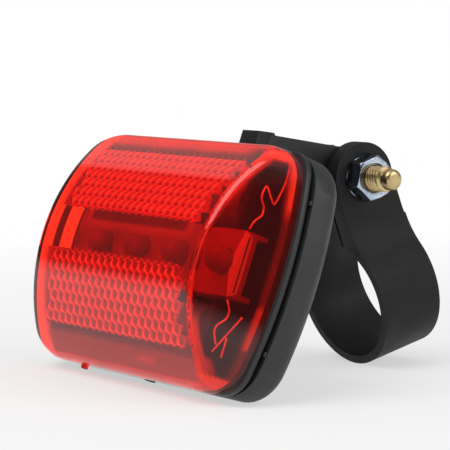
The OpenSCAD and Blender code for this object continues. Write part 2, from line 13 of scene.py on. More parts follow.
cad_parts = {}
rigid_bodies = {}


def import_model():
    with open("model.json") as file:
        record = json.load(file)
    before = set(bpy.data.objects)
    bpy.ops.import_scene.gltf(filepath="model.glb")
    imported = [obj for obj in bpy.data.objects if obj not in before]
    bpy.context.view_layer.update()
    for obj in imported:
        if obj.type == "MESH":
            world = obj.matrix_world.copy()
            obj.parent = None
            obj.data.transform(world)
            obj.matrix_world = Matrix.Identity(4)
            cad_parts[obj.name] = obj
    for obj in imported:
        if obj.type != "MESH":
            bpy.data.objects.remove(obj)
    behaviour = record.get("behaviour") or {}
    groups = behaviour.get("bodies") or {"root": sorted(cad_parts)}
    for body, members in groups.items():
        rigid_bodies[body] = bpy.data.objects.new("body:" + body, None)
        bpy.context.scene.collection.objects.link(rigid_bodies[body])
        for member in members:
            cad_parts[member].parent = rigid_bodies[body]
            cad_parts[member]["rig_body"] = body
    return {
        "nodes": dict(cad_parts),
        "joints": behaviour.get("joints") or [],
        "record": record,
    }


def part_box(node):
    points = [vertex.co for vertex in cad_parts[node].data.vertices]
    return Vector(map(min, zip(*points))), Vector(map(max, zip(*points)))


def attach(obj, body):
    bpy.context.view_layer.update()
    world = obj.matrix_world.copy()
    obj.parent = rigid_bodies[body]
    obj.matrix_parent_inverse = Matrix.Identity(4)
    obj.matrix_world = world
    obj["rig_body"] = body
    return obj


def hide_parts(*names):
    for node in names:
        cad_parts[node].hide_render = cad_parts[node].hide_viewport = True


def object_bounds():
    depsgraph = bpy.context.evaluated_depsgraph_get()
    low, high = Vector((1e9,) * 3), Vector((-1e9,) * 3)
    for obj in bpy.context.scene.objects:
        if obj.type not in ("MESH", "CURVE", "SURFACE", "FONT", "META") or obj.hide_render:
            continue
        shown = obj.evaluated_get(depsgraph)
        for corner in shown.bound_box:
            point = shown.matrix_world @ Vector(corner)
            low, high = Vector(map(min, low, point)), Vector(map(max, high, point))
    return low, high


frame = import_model()
CAD_BOX = [list(map(float, corner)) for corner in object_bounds()]

bl_info = {
    "name": "Bicycle rear light",
    "version": (1, 0, 0),
    "blender": (4, 5, 0),
    "location": "View3D > Sidebar > Rear light",
    "description": "Dresses the packed rear light with its lens, finishes and studio",
    "category": "Object",
}

MM = 0.001

# Places in millimetres: the hinge in the lamp's axes, and the bolt in the clamp's axes
HINGE_Y, HINGE_Z = 33.2, 28.1
BOLT_Y, BOLT_Z = -1.0, 24.5

# Edges that turn by more than this many degrees are rounded
SHARP = 34


# Axes of the lamp and of the clamp

def turned(back):
    """Axes that share the row's X and have Y along the given direction."""
    up = Vector((1, 0, 0)).cross(back)
    return Matrix(((1, 0, 0, 0), (0, back.y, up.y, 0), (0, back.z, up.z, 0), (0, 0, 0, 1)))


def lamp_axes():
    """Lamp axes in the row frame: X along the lens, Y to its back, Z up its face, origin on the seam."""
    joints = {j["name"]: j for j in frame["joints"]}
    turn = turned(-Vector(joints["front_pull"]["axis"]))
    origin = Vector(joints["clamp_hinge"]["pos_m"]) - turn @ Vector((0, HINGE_Y, HINGE_Z)) * MM
    return Matrix.Translation(origin) @ turn


# The clamp's Y lies along its bore and its Z points to the bolt, from the bore's centre
LAMP = lamp_axes()
CLAMP = turned(Vector(frame["record"]["mounts"][0]["axis"]))


def to_row(points, axes):
    """Points in millimetres in those axes, as metres in the row frame."""
    m = np.array(axes)
    return np.asarray(points, float) * MM @ m[:3, :3].T + m[:3, 3]


# Mesh helpers

def new_object(name, data):
    made = bpy.data.objects.new(name, data)
    bpy.context.scene.collection.objects.link(made)
    return made


def new_piece(name, points, faces, body, material, replaces=(), sharp=None):
    """Makes a mesh object from row frame points, rides it on a body and gives it its finish."""
    mesh = bpy.data.meshes.new(name)
    mesh.from_pydata([tuple(p) for p in points], [], [tuple(int(i) for i in f) for f in faces])
    mesh.validate()
    mesh.shade_smooth()
    if sharp is not None:
        mesh.set_sharp_from_angle(angle=math.radians(sharp))
    return settle(new_object(name, mesh), body, material, replaces)


def settle(piece, body, material, replaces=()):
    """Gives a piece its material, body and slot, and hides the solids it stands for."""
    piece.data.materials.clear()
    piece.data.materials.append(material)
    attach(piece, body)
    if replaces:
        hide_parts(*replaces)
    return piece


def circle(r, sides):
    """Places round a circle, in its plane."""
    turns = [2 * math.pi * k / sides for k in range(sides)]
    return [(r * math.cos(t), r * math.sin(t)) for t in turns]


def ring_faces(first, levels, n, flip=False):
    """Quads between closed rings of n points each, which follow on from the first index."""
    faces = []
    for k in range(levels):
        for i in range(n):
            a, b = first + k * n + i, first + k * n + (i + 1) % n
            faces.append((a + n, b + n, b, a) if flip else (a, b, b + n, a + n))
    return faces


def bevel_edges(bm, radius, segments, angle, reach=None):
    """Rounds the edges that turn by more than the angle, or those of them that reach picks."""
    limit = math.radians(angle)
    edges = [e for e in bm.edges if len(e.link_faces) == 2 and e.calc_face_angle(0) > limit
             and (reach is None or reach(e))]
    bmesh.ops.bevel(bm, geom=edges, offset=radius, segments=segments, profile=0.5,
                    affect="EDGES", clamp_overlap=True, offset_type="OFFSET")
    bmesh.ops.remove_doubles(bm, verts=bm.verts, dist=1e-6)


def edit_mesh(mesh, merge=0.0, edge=0.0, angle=SHARP):
    """Turns all faces outward, after merging doubles and before rounding edges if asked."""
    bm = bmesh.new()
    bm.from_mesh(mesh)
    if merge:
        bmesh.ops.remove_doubles(bm, verts=bm.verts, dist=merge)
    bmesh.ops.recalc_face_normals(bm, faces=bm.faces)
    if edge:
        bevel_edges(bm, edge, 2, angle)
    bm.to_mesh(mesh)
    bm.free()


def softened(node, name, radius, material, segments=2, first=None):
    """A copy of a solid with its sharp edges rounded, which stands for the solid."""
    solid = frame["nodes"][node]
    bm = bmesh.new()
    bm.from_mesh(solid.data)
    bmesh.ops.remove_doubles(bm, verts=bm.verts, dist=2e-6)
    bmesh.ops.dissolve_degenerate(bm, edges=bm.edges, dist=2e-6)
    bmesh.ops.dissolve_limit(bm, verts=bm.verts, edges=bm.edges, angle_limit=math.radians(0.4))
    if first:
        bevel_edges(bm, *first)
    bevel_edges(bm, radius, segments, SHARP)
    bmesh.ops.triangulate(bm, faces=[f for f in bm.faces if len(f.verts) > 4])
    mesh = bpy.data.meshes.new(name)
    bm.to_mesh(mesh)
    bm.free()
    for layer in [a for a in mesh.attributes if a.name == "custom_normal"]:
        mesh.attributes.remove(layer)
    mesh.shade_smooth()
    mesh.set_sharp_from_angle(angle=math.radians(30))
    return settle(new_object(name, mesh), solid["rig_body"], material, (node,))


def dress(node, material):
    """Gives a solid that keeps its shape its finish."""
    for slot in frame["nodes"][node].material_slots:
        slot.material = material


# Settings

def number(name, description, default, kind=FloatProperty, **more):
    return kind(name=name, description=description, default=default, **more)


def metres(name, description, default, **more):
    return number(name, description, default, unit="LENGTH", **more)


def tint(name, description, default):
    return number(name, description, default, FloatVectorProperty, subtype="COLOR", size=3)


class LensSettings(PropertyGroup):
    half_w: metres("Half width", "Half width of the lens at its rim", 0.037)
    half_h: metres("Half height", "Half height of the lens", 0.0235)
    depth: metres("Depth", "Depth of the lens in front of its rim", 0.0129)
    front_r: metres("Front radius", "Radius of the curved front face", 0.033076)
    side_r: metres("End radius", "Radius in plan of the bowed ends", 0.072)
    corner_r: metres("Corner radius", "Radius of the four corners", 0.006)
    edge_r: metres("Edge radius", "Rounding between front and end faces", 0.0008)
    shoulder_r: metres("Shoulder radius", "Rounding towards top and bottom", 0.001)
    end_slope: number("End slope", "Inward slope of the end faces", 0.707)
    wall: metres("Wall", "Wall thickness of the lens", 0.0016)
    pitch: metres("Prism pitch", "Pitch of the prisms along a row", 0.00236)
    base: metres("Prism base", "Solid web under the prisms", 0.00015)
    upper_rows: number("Upper rows", "Rows of prisms in the upper panel", 7, IntProperty)
    lower_rows: number("Lower rows", "Rows of prisms in the lower panel", 7, IntProperty)
    upper_from: metres("Upper start", "Height where the upper panel starts", 0.0051)
    lower_from: metres("Lower start", "Depth where the lower panel starts", 0.0027)
    margin: metres("Margin", "Margin between a panel and the front's edge", 0.004)
    colour: tint("Red", "Colour of the lens plastic", (0.86, 0.022, 0.012))
    roughness: number("Roughness", "Roughness of the polished faces", 0.03, subtype="FACTOR")
    # Painted light of the lens: the trapped light is the strength of a painted glow (emission), and the
    # tones below are painted: lit and brightest prism faces as painted highlights, dark faces as painted
    # shade, and painted glow bands at the ends, top and bottom
    painted_light: number("Trapped light", "Strength of the light trapped in the wall", 0.55)
    bright: tint("Bright prisms", "Lit faces of the prisms", (0.62, 0.05, 0.032))
    streak: tint("Brightest prisms", "Brightest edges of the prisms", (0.9, 0.2, 0.13))
    dark: tint("Dark prisms", "Faces of the prisms that see the dark", (0.36, 0.012, 0.01))
    band: tint("Bright band", "Trapped light at the lens ends", (1.0, 0.3, 0.12))
    dim: tint("Dim band", "Trapped light along top and bottom", (0.8, 0.1, 0.08))


class MouldingSettings(PropertyGroup):
    case: tint("Case", "Colour of the case plastic", (0.02, 0.0205, 0.021))
    arm: tint("Bracket", "Colour of the bracket plastic", (0.014, 0.014, 0.015))
    clamp: tint("Clamp", "Colour of the clamp plastic", (0.01, 0.01, 0.0105))
    rubber: tint("Rubber", "Colour of seal and button", (0.012, 0.012, 0.012))
    grain: metres("Grain size", "Size of the moulded grain", 0.00035, precision=5)
    soft_edge: metres("Edge rounding", "Rounding of moulded edges", 0.0003, precision=5)


class HardwareSettings(PropertyGroup):
    bolt_colour: tint("Bolt", "Yellow zinc of the bolt", (0.62, 0.5, 0.25))
    nut_colour: tint("Nut", "Blue zinc of the nut", (0.6, 0.66, 0.74))
    bolt_r: metres("Bolt radius", "Outer radius of the thread", 0.0025)
    thread_pitch: metres("Thread pitch", "Pitch of the bolt's thread", 0.0008, precision=5)
    nut_af: metres("Across flats", "Width of nut and head across flats", 0.008)


class InsideSettings(PropertyGroup):
    holder: tint("Holder", "Colour of the diode holder", (0.42, 0.42, 0.43))
    diode: tint("Diode", "Colour of the diode resin", (0.5, 0.4, 0.38))
    # Strength of the painted glow (emission) on the holder's end frames
    frame_painted_glow: number("End frames", "Light caught by the holder's end frames", 0.45)
    cell: tint("Cell wrapper", "Colour of the battery wrapper", (0.16, 0.17, 0.19))


class StudioSettings(PropertyGroup):
    key: number("Key light", "Power of the large soft light", 6.5, unit="POWER")
    fill: number("Fill light", "Power of the fill light", 4.0, unit="POWER")
    sweep: number("Sweep", "Strength of the white sweep behind the lamp", 0.55)
    room: number("Room", "Strength of the dim room before the lamp", 0.1)
    ceiling: number("Ceiling", "Strength of the surround overhead", 0.6)


# Shader trees

class Tree:
    """Short ways to add and link the nodes of one shader tree."""

    def __init__(self, tree):
        self.nodes, self.links = tree.nodes, tree.links

    def feed(self, socket, value):
        """Links a socket to another one, or sets its constant."""
        if isinstance(value, bpy.types.NodeSocket):
            self.links.new(value, socket)
        elif hasattr(value, "__len__"):
            socket.default_value = (*value, 1.0)[:len(socket.default_value)]
        else:
            socket.default_value = value

    def fill(self, node, **inputs):
        """Feeds inputs by their labels, with an underscore for each space."""
        for label, value in inputs.items():
            self.feed(node.inputs[label.replace("_", " ")], value)
        return node

    def node(self, kind, **inputs):
        return self.fill(self.nodes.new(kind), **inputs)

    def math(self, operation, a, b=None, clamp=False):
        node = self.node("ShaderNodeMath")
        node.operation, node.use_clamp = operation, clamp
        self.feed(node.inputs[0], a)
        if b is not None:
            self.feed(node.inputs[1], b)
        return node.outputs[0]

    def noise(self, vector, scale, detail=2.0, rough=0.5, distortion=0.0):
        return self.node("ShaderNodeTexNoise", Vector=vector, Scale=scale, Detail=detail,
                         Roughness=rough, Distortion=distortion).outputs[0]

    def split(self, vector):
        return self.node("ShaderNodeSeparateXYZ", Vector=vector).outputs

    def mix(self, factor, a, b):
        node = self.node("ShaderNodeMix")
        node.data_type = "RGBA"
        return self.fill(node, Factor=factor, A=a, B=b).outputs["Result"]

    def remap(self, value, low, high, to_low=0.0, to_high=1.0):
        return self.node("ShaderNodeMapRange", Value=value, From_Min=low, From_Max=high,
                         To_Min=to_low, To_Max=to_high).outputs[0]

    def bump(self, height, strength, distance):
        return self.node("ShaderNodeBump", Strength=strength, Distance=distance,
                         Height=height).outputs[0]

    def place(self, name, **inputs):
        """The outputs of a shared effect with those inputs."""
        node = self.node("ShaderNodeGroup")
        node.node_tree = shared_effect(name)
        return self.fill(node, **inputs).outputs

    def surface(self, factor, first, second, output="Material Output"):
        """Mixes two shaders by the factor into the output."""
        mix = self.node("ShaderNodeMixShader", Fac=factor)
        self.feed(mix.inputs[1], first)
        self.feed(mix.inputs[2], second)
        self.feed(self.nodes[output].inputs["Surface"], mix.outputs[0])


# Shared effects as shader node groups

def open_group(name, inputs, outputs):
    """A new node group, with its tree, its incoming sockets and the sockets it gives out."""
    group = bpy.data.node_groups.new(name, "ShaderNodeTree")
    for label, default in inputs:
        kind = "NodeSocketVector" if isinstance(default, tuple) else "NodeSocketFloat"
        socket = group.interface.new_socket(name=label, in_out="INPUT", socket_type=kind)
        socket.default_value = default
    for label in outputs:
        group.interface.new_socket(name=label, in_out="OUTPUT", socket_type="NodeSocketFloat")
    tree = Tree(group)
    return group, tree, tree.node("NodeGroupInput").outputs, tree.node("NodeGroupOutput").inputs


def grain_group():
    """Moulded grain: a fine height, a patchy mask and a slow flow mask."""
    group, tree, ins, outs = open_group(
        "Moulded grain", [("Grain Size", 0.0004), ("Patch Size", 0.006)],
        ["Height", "Patches", "Flow"])
    place = tree.node("ShaderNodeTexCoord").outputs["Object"]
    fine = tree.math("DIVIDE", 1.0, ins["Grain Size"])
    wide = tree.math("DIVIDE", 1.0, ins["Patch Size"])
    stretch = tree.node("ShaderNodeMapping", Scale=(1.0, 0.35, 0.35), Vector=place)
    tree.feed(outs["Height"], tree.noise(place, fine, 2.0, 0.55))
    tree.feed(outs["Patches"], tree.noise(place, wide, 4.0, 0.6))
    tree.feed(outs["Flow"], tree.noise(stretch.outputs[0], wide, 2.0, 0.5, 1.2))
    return group


def handling_group():
    """Light handling marks: thin scratches, and specks of dust that settle on upper faces."""
    group, tree, ins, outs = open_group(
        "Handling marks", [("Scratch Size", 0.004), ("Dust", 0.3)], ["Scratches", "Dust"])
    place = tree.node("ShaderNodeTexCoord").outputs["Object"]
    scale = tree.math("DIVIDE", 1.0, ins["Scratch Size"])
    turn = tree.node("ShaderNodeMapping", Rotation=(0.4, 0.7, 0.3), Scale=(1.0, 14.0, 1.0),
                     Vector=place)
    lines = tree.noise(turn.outputs[0], scale, 3.0, 0.55)
    tree.feed(outs["Scratches"], tree.remap(lines, 0.66, 0.72))
    specks = tree.node("ShaderNodeTexVoronoi", Scale=900.0, Vector=place)
    dot = tree.remap(specks.outputs["Distance"], 0.16, 0.06)
    rare = tree.remap(tree.noise(place, 260.0), 0.5, 0.7)
    normal = tree.node("ShaderNodeNewGeometry").outputs["Normal"]
    level = tree.math("MAXIMUM", tree.split(normal)["Z"], 0.0)
    mask = tree.math("MULTIPLY", tree.math("MULTIPLY", dot, rare), level)
    tree.feed(outs["Dust"], tree.math("MULTIPLY", mask, ins["Dust"], clamp=True))
    return group


def prism_group():
    """Painted reflection of the prisms: dark dots of painted shade at the lattice points and bright
    streaks of painted highlight between them.
    """
    group, tree, ins, outs = open_group(
        "Prism painted reflection",
        [("Marks", (0.0, 0.0, 0.0)), ("Repeat", 1.0), ("Half Width", 0.3), ("Half Height", 0.4)],
        ["Dot", "Streak"])

    def centred(value):
        """How far a value lies from the nearest whole number, with its sign."""
        return tree.math("SUBTRACT", tree.math("FRACT", tree.math("ADD", value, 0.5)), 0.5)

    marks, repeat = tree.split(ins["Marks"]), ins["Repeat"]
    b = tree.math("MULTIPLY", centred(tree.math("DIVIDE", marks["Y"], repeat)), repeat)
    across = tree.math("ADD", centred(marks["X"]), tree.math("MULTIPLY", b, 0.5))
    wide = tree.math("DIVIDE", tree.math("ABSOLUTE", across), ins["Half Width"])
    tall = tree.math("DIVIDE", tree.math("ABSOLUTE", b), ins["Half Height"])
    slant = tree.math("MULTIPLY", tree.math("ADD", wide, tall), 0.72)
    reach = tree.math("MAXIMUM", tree.math("MAXIMUM", wide, tall), slant)
    tree.feed(outs["Dot"], tree.remap(reach, 1.15, 0.8))
    line = tree.math("ABSOLUTE", tree.math("SUBTRACT", tree.math("FRACT", marks["X"]), 0.5))
    tree.feed(outs["Streak"], tree.remap(line, 0.2, 0.02))
    return group


EFFECTS = {"Moulded grain": grain_group, "Handling marks": handling_group,
           "Prism painted reflection": prism_group}


def shared_effect(name):
    """A shared node group, built once."""
    return bpy.data.node_groups.get(name) or EFFECTS[name]()


# Materials

DUST = (0.45, 0.44, 0.42)
LENS_IOR, LENS_SHADE = 1.49, (0.93, 0.3, 0.22)


def open_material(name):
    """A new material, with its tree and its Principled shader."""
    material = bpy.data.materials.new(name)
    material.use_nodes = True
    tree = Tree(material.node_tree)
    return material, tree, tree.nodes["Principled BSDF"]


def worn(name, tones, rough, sizes, flow, scuffs, relief, dust):
    """What plastic and metal share: tones that flow, patchy sheen, grain and fine scratches."""
    material, tree, shader = open_material(name)
    grain, patch, scratch = sizes
    field = tree.place("Moulded grain", Grain_Size=grain, Patch_Size=patch)
    marks = tree.place("Handling marks", Scratch_Size=scratch, Dust=dust)
    base = tree.mix(tree.remap(field["Flow"], 0.35, flow), *tones)
    sheen = tree.remap(field["Patches"], 0.3, 0.7, *rough)
    scuff = tree.math("MULTIPLY", marks["Scratches"], scuffs)
    tree.fill(shader, Base_Color=base, Roughness=tree.math("ADD", sheen, scuff, clamp=True),
              Normal=tree.bump(field["Height"], *relief))
    return material, tree, shader, base, marks["Dust"]


def plastic(name, colour, rough=(0.42, 0.6), grain=0.00035, depth=0.00003, lift=1.35, dust=0.25,
            **more):
    """Moulded plastic: grain, patchy sheen, flow marks and a little dust."""
    pale = [min(1.0, c * lift) for c in colour]
    material, tree, shader, base, specks = worn(
        name, (colour, pale), rough, (grain, 0.007, 0.005), 0.7, 0.12, (0.5, depth), dust)
    tree.fill(shader, Base_Color=tree.mix(specks, base, DUST), **more)
    return material


def metal(name, colour, rough=(0.16, 0.34), other=None):
    """Plated metal: uneven tint, brushed grain and fine scratches."""
    tones = colour, other or [c * 0.75 for c in colour]
    material, tree, shader, _, _ = worn(
        name, tones, rough, (0.0003, 0.0022, 0.0016), 0.65, 0.2, (0.4, 0.000012), 0.1)
    tree.fill(shader, Metallic=1.0)
    return material


def clear(name, colour, rough, ior, shade, through=1.0):
    """Clear plastic that lets tinted light through to what lies behind it."""
    material, tree, shader = open_material(name)
    field = tree.place("Moulded grain", Grain_Size=0.004, Patch_Size=0.009)
    tone = tree.mix(tree.remap(field["Patches"], 0.35, 0.65), colour, [c * 0.82 for c in colour])
    tree.fill(shader, Base_Color=tone, Transmission_Weight=through, IOR=ior,
              Roughness=tree.remap(field["Flow"], 0.3, 0.7, rough * 0.5, rough * 1.5),
              Normal=tree.bump(field["Height"], 0.25, 0.000004))
    shadow = tree.node("ShaderNodeLightPath").outputs["Is Shadow Ray"]
    open_path = tree.node("ShaderNodeBsdfTransparent", Color=shade)
    tree.surface(shadow, shader.outputs[0], open_path.outputs[0])
    return material


# Lens

# Lengths of the lens mesh in millimetres: columns start this far in from the outline, and stand
# this far apart; then the grid on the plain front, and the gap from a prism to its foot
REACH, COLUMN_STEP, FRONT_STEP, FOOT_GAP = 13.0, 0.8, 1.1, 0.16

# Rows of points from the rim to the plain front, how finely they are found, and how much a turn
# of one radian counts against a millimetre of length when they are spread
BAND_ROWS, CAST_STEPS, HALVINGS, PATH_STEPS, TURN_WEIGHT = 20, 70, 36, 90, 2.2

# The small nub under the lens in millimetres
NUB_X, NUB_Y, NUB_R, NUB_SIDES = -15.7, -1.3, 0.75, 20

# Material slots of the lens after its outer skin
INNER_WALL, UPPER_PRISMS, LOWER_PRISMS = 1, 2, 3

# Where painted light and shade change along the clear window in millimetres: the start of its painted
# left end, the edges of the painted bright bar, and the painted bright strip at the far left; the rest of
# the left end is painted shade
WINDOW_END, BAR_START, BAR_END, STRIP_END = (-14.9, -15.3), (-20.9, -20.6), (-15.9, -16.4), (-23.2, -23.6)


def round_max(a, b, r):
    """The larger of two inside distances, with a fillet of radius r where they meet."""
    return np.minimum(np.maximum(a, b), -r) + np.hypot(np.maximum(a + r, 0), np.maximum(b + r, 0))


class LensForm:
    """The lens in its own axes, in millimetres."""

    def __init__(self, s):
        self.w, self.h, self.depth = s.half_w / MM, s.half_h / MM, s.depth / MM
        self.fr, self.sr, self.slope = s.front_r / MM, s.side_r / MM, s.end_slope
        self.corner, self.edge, self.shoulder = s.corner_r / MM, s.edge_r / MM, s.shoulder_r / MM
        self.wall, self.pitch = s.wall / MM, s.pitch / MM
        self.axis = self.fr - self.depth
        self.slant = math.hypot(1, self.slope)

    def sides(self, p, inset):
        """Inside distance to the sloping ends and the straight top and bottom."""
        x, y, z = np.abs(p[..., 0]), p[..., 1], np.abs(p[..., 2])
        end = (np.hypot(x + self.sr - self.w, z) - self.sr - y * self.slope) / self.slant + inset
        top = z - self.h + inset
        r = self.corner - 2.5 * np.clip(-y / 10, 0, 1)
        return round_max(end, top, np.maximum(r - inset, 0.5))

    def fillet(self, p, inset):
        """Radius between front and sides, from the edge's to the shoulder's."""
        t = np.clip((np.abs(p[..., 2]) - 13) / 8, 0, 1)
        r = self.edge + (self.shoulder - self.edge) * t * t * (3 - 2 * t)
        return np.maximum(r - inset, 0.4)

    def front(self, p, inset):
        return np.hypot(p[..., 1] - self.axis, p[..., 2]) - self.fr + inset

    def inside(self, p, inset):
        return round_max(self.sides(p, inset), self.front(p, inset), self.fillet(p, inset))

    def cast(self, origin, heading, inset):
        """Walks from the origins along the headings to the surface."""
        t = np.zeros(origin.shape[:-1])
        for _ in range(CAST_STEPS):
            p = origin + heading * t[..., None]
            t = t - self.inside(p, inset)
        return origin + heading * t[..., None]


def lens_columns(form):
    """Start points and headings round the rim, from an inner rectangle outward."""
    a, b = form.w - REACH, form.h - REACH
    corners = (-a, -b), (a, -b), (a, b), (-a, b)
    fan = int(REACH * math.pi / 2 / COLUMN_STEP * 1.4)
    starts, angles = [], []
    for side, p in enumerate(corners):
        q, angle = corners[(side + 1) % 4], 90 * side - 90
        n = max(2, int(math.dist(p, q) / COLUMN_STEP))
        starts += [(p[0] + (q[0] - p[0]) * (i / n), p[1] + (q[1] - p[1]) * (i / n)) for i in range(n)]
        starts += [q] * fan
        angles += [angle] * n + [angle + 90 * i / fan for i in range(fan)]
    return np.array(starts), np.radians(np.array(angles))


def lens_band(form, inset):
    """Rows of points from the rim, round the fillet, to where the plain front starts."""
    starts, angles = lens_columns(form)
    n = len(starts)
    origin = np.stack([starts[:, 0], np.zeros(n), starts[:, 1]], 1)
    out = np.stack([np.cos(angles), np.zeros(n), np.sin(angles)], 1)
    ahead = np.array([0.0, -1.0, 0.0])

    def hit(phi):
        heading = out * np.cos(phi)[:, None] + ahead * np.sin(phi)[:, None]
        return form.cast(origin, heading, inset)

    low, high = np.zeros(n), np.full(n, math.pi / 2)
    for _ in range(HALVINGS):
        mid = (low + high) / 2
        p = hit(mid)
        deep = form.sides(p, inset) < -(form.fillet(p, inset) + 0.25)
        high = np.where(deep, mid, high)
        low = np.where(deep, low, mid)
    path = np.stack([hit(high * k / PATH_STEPS) for k in range(PATH_STEPS + 1)], 1)
    seg = np.diff(path, axis=1)
    length = np.linalg.norm(seg, axis=2)
    unit = seg / np.maximum(length, 1e-9)[..., None]
    turn = np.arccos(np.clip((unit[:, 1:] * unit[:, :-1]).sum(2), -1, 1))
    weight = length.copy()
    weight[:, 1:] += TURN_WEIGHT * turn / 2
    weight[:, :-1] += TURN_WEIGHT * turn / 2
    run = np.concatenate([np.zeros((n, 1)), np.cumsum(weight, 1)], 1)
    band = np.zeros((BAND_ROWS + 1, n, 3))
    for i in range(n):
        at = np.linspace(0, run[i, -1], BAND_ROWS + 1)
        for k in range(3):
            band[:, i, k] = np.interp(at, run[i], path[i, :, k])
    return band


def fill_front(form, rim, inset, cells):
    """Triangles inside a closed rim on the curved front, around raised prism cells."""
    r = form.fr - inset
    flat = np.stack([rim[:, 0], r * np.arctan2(rim[:, 2], form.axis - rim[:, 1])], 1)
    points = [tuple(p) for p in flat]
    height = [0.0] * len(points)
    edges = []
    seen = {}

    def add(x, v, h):
        key = (round(x, 4), round(v, 4))
        if key not in seen:
            seen[key] = len(points)
            points.append((x, v))
            height.append(h)
        return seen[key]

    for cell in cells:
        ring = [add(*p) for p in cell["ring"]]
        tip = add(*cell["tip"])
        for k in range(6):
            edges.append((ring[k], ring[(k + 1) % 6]))
            edges.append((ring[k], tip))
        for x, v in cell["foot"]:
            add(x, v, 0.0)
    centres = np.array([c["tip"][:2] for c in cells]) if cells else np.zeros((0, 2))
    for x in np.arange(-form.w, form.w, FRONT_STEP):
        for v in np.arange(-form.h * 1.3, form.h * 1.3, FRONT_STEP):
            p = np.array([x, v])
            if len(centres) and np.min(np.hypot(*(centres - p).T)) < 0.72 * form.pitch:
                continue
            if np.min(np.hypot(*(flat - p).T)) < 0.7 * FRONT_STEP or not inside_loop(flat, p):
                continue
            add(float(x), float(v), 0.0)
    loop = list(range(len(rim)))
    area = sum(flat[i, 0] * flat[i - 1, 1] - flat[i - 1, 0] * flat[i, 1] for i in loop)
    face = loop if area < 0 else loop[::-1]
    verts, _, tris, origs, _, _ = delaunay_2d_cdt(
        [Vector(p) for p in points], edges, [face], 1, 1e-5)
    out = np.zeros((len(verts), 3))
    lifts = [height[o[0]] if o else 0.0 for o in origs]
    for i, (v, lift) in enumerate(zip(verts, lifts)):
        angle = v[1] / r
        out[i] = (v[0], form.axis - (r - lift) * math.cos(angle), (r - lift) * math.sin(angle))
        if origs[i] and origs[i][0] < len(rim):
            out[i] = rim[origs[i][0]]
    return out, [tuple(t) for t in tris], [o[0] if o else -1 for o in origs], lifts


def inside_loop(loop, p):
    """Whether a point lies inside a closed line of points."""
    a, b = loop, np.roll(loop, -1, 0)
    cross = (a[:, 1] > p[1]) != (b[:, 1] > p[1])
    x = a[:, 0] + (p[1] - a[:, 1]) * (b[:, 0] - a[:, 0]) / np.where(cross, b[:, 1] - a[:, 1], 1)
    return bool(np.count_nonzero(cross & (x > p[0])) % 2)


def prism_cells(form, s, rows, start, side):
    """Corner cubes on a hexagonal lattice: each cell's ring, tip and foot in width and arc length."""
    pitch, base = form.pitch, s.base / MM
    hex_s = pitch / math.sqrt(3)
    row = 1.5 * hex_s
    rise = pitch / math.sqrt(6)
    r = form.fr - form.wall
    v0 = r * math.asin(start / MM / r) + 0.25 * hex_s

    def limit(j):
        angle = (v0 + (j + 0.5) * row) / r
        z = form.fr * math.sin(angle)
        edge = form.w - form.sr + math.sqrt(form.sr ** 2 - z * z)
        return edge - form.slope * (form.fr * math.cos(angle) - form.axis) - s.margin / MM

    def has(q, j):
        return 0 <= j < rows and (q + j) % 2 == 0 and abs(q * pitch / 2) + pitch / 2 <= limit(j)

    n = int(2 * form.w / pitch)
    cells = []
    for j in range(rows):
        for q in range(-n, n + 1):
            if not has(q, j):
                continue
            ring = []
            for dq, dj in ((0, 0), (1, 0), (1, 1), (0, 1), (-1, 1), (-1, 0)):
                even = (q + dq + j + dj) % 2 == 0
                v = v0 + (j + dj) * row + (-0.25 if even else 0.25) * hex_s
                ring.append(((q + dq) * pitch / 2, side * v, base + (0 if even else rise)))
            centre = (q * pitch / 2, side * (v0 + (j + 0.5) * row))
            near = ((1, -1), (2, 0), (1, 1), (-1, 1), (-2, 0), (-1, -1))
            foot = []
            for k, (dq, dj) in enumerate(near):
                if has(q + dq, j + dj):
                    continue
                a, b = ring[k], ring[(k + 1) % 6]
                for p in (a, b, ((a[0] + b[0]) / 2, (a[1] + b[1]) / 2)):
                    dx, dv = p[0] - centre[0], p[1] - centre[1]
                    grow = 1 + FOOT_GAP / math.hypot(dx, dv)
                    foot.append((centre[0] + dx * grow, centre[1] + dv * grow))
            cells.append({"ring": ring, "tip": (*centre, base + 2 * rise), "foot": foot})
    return cells


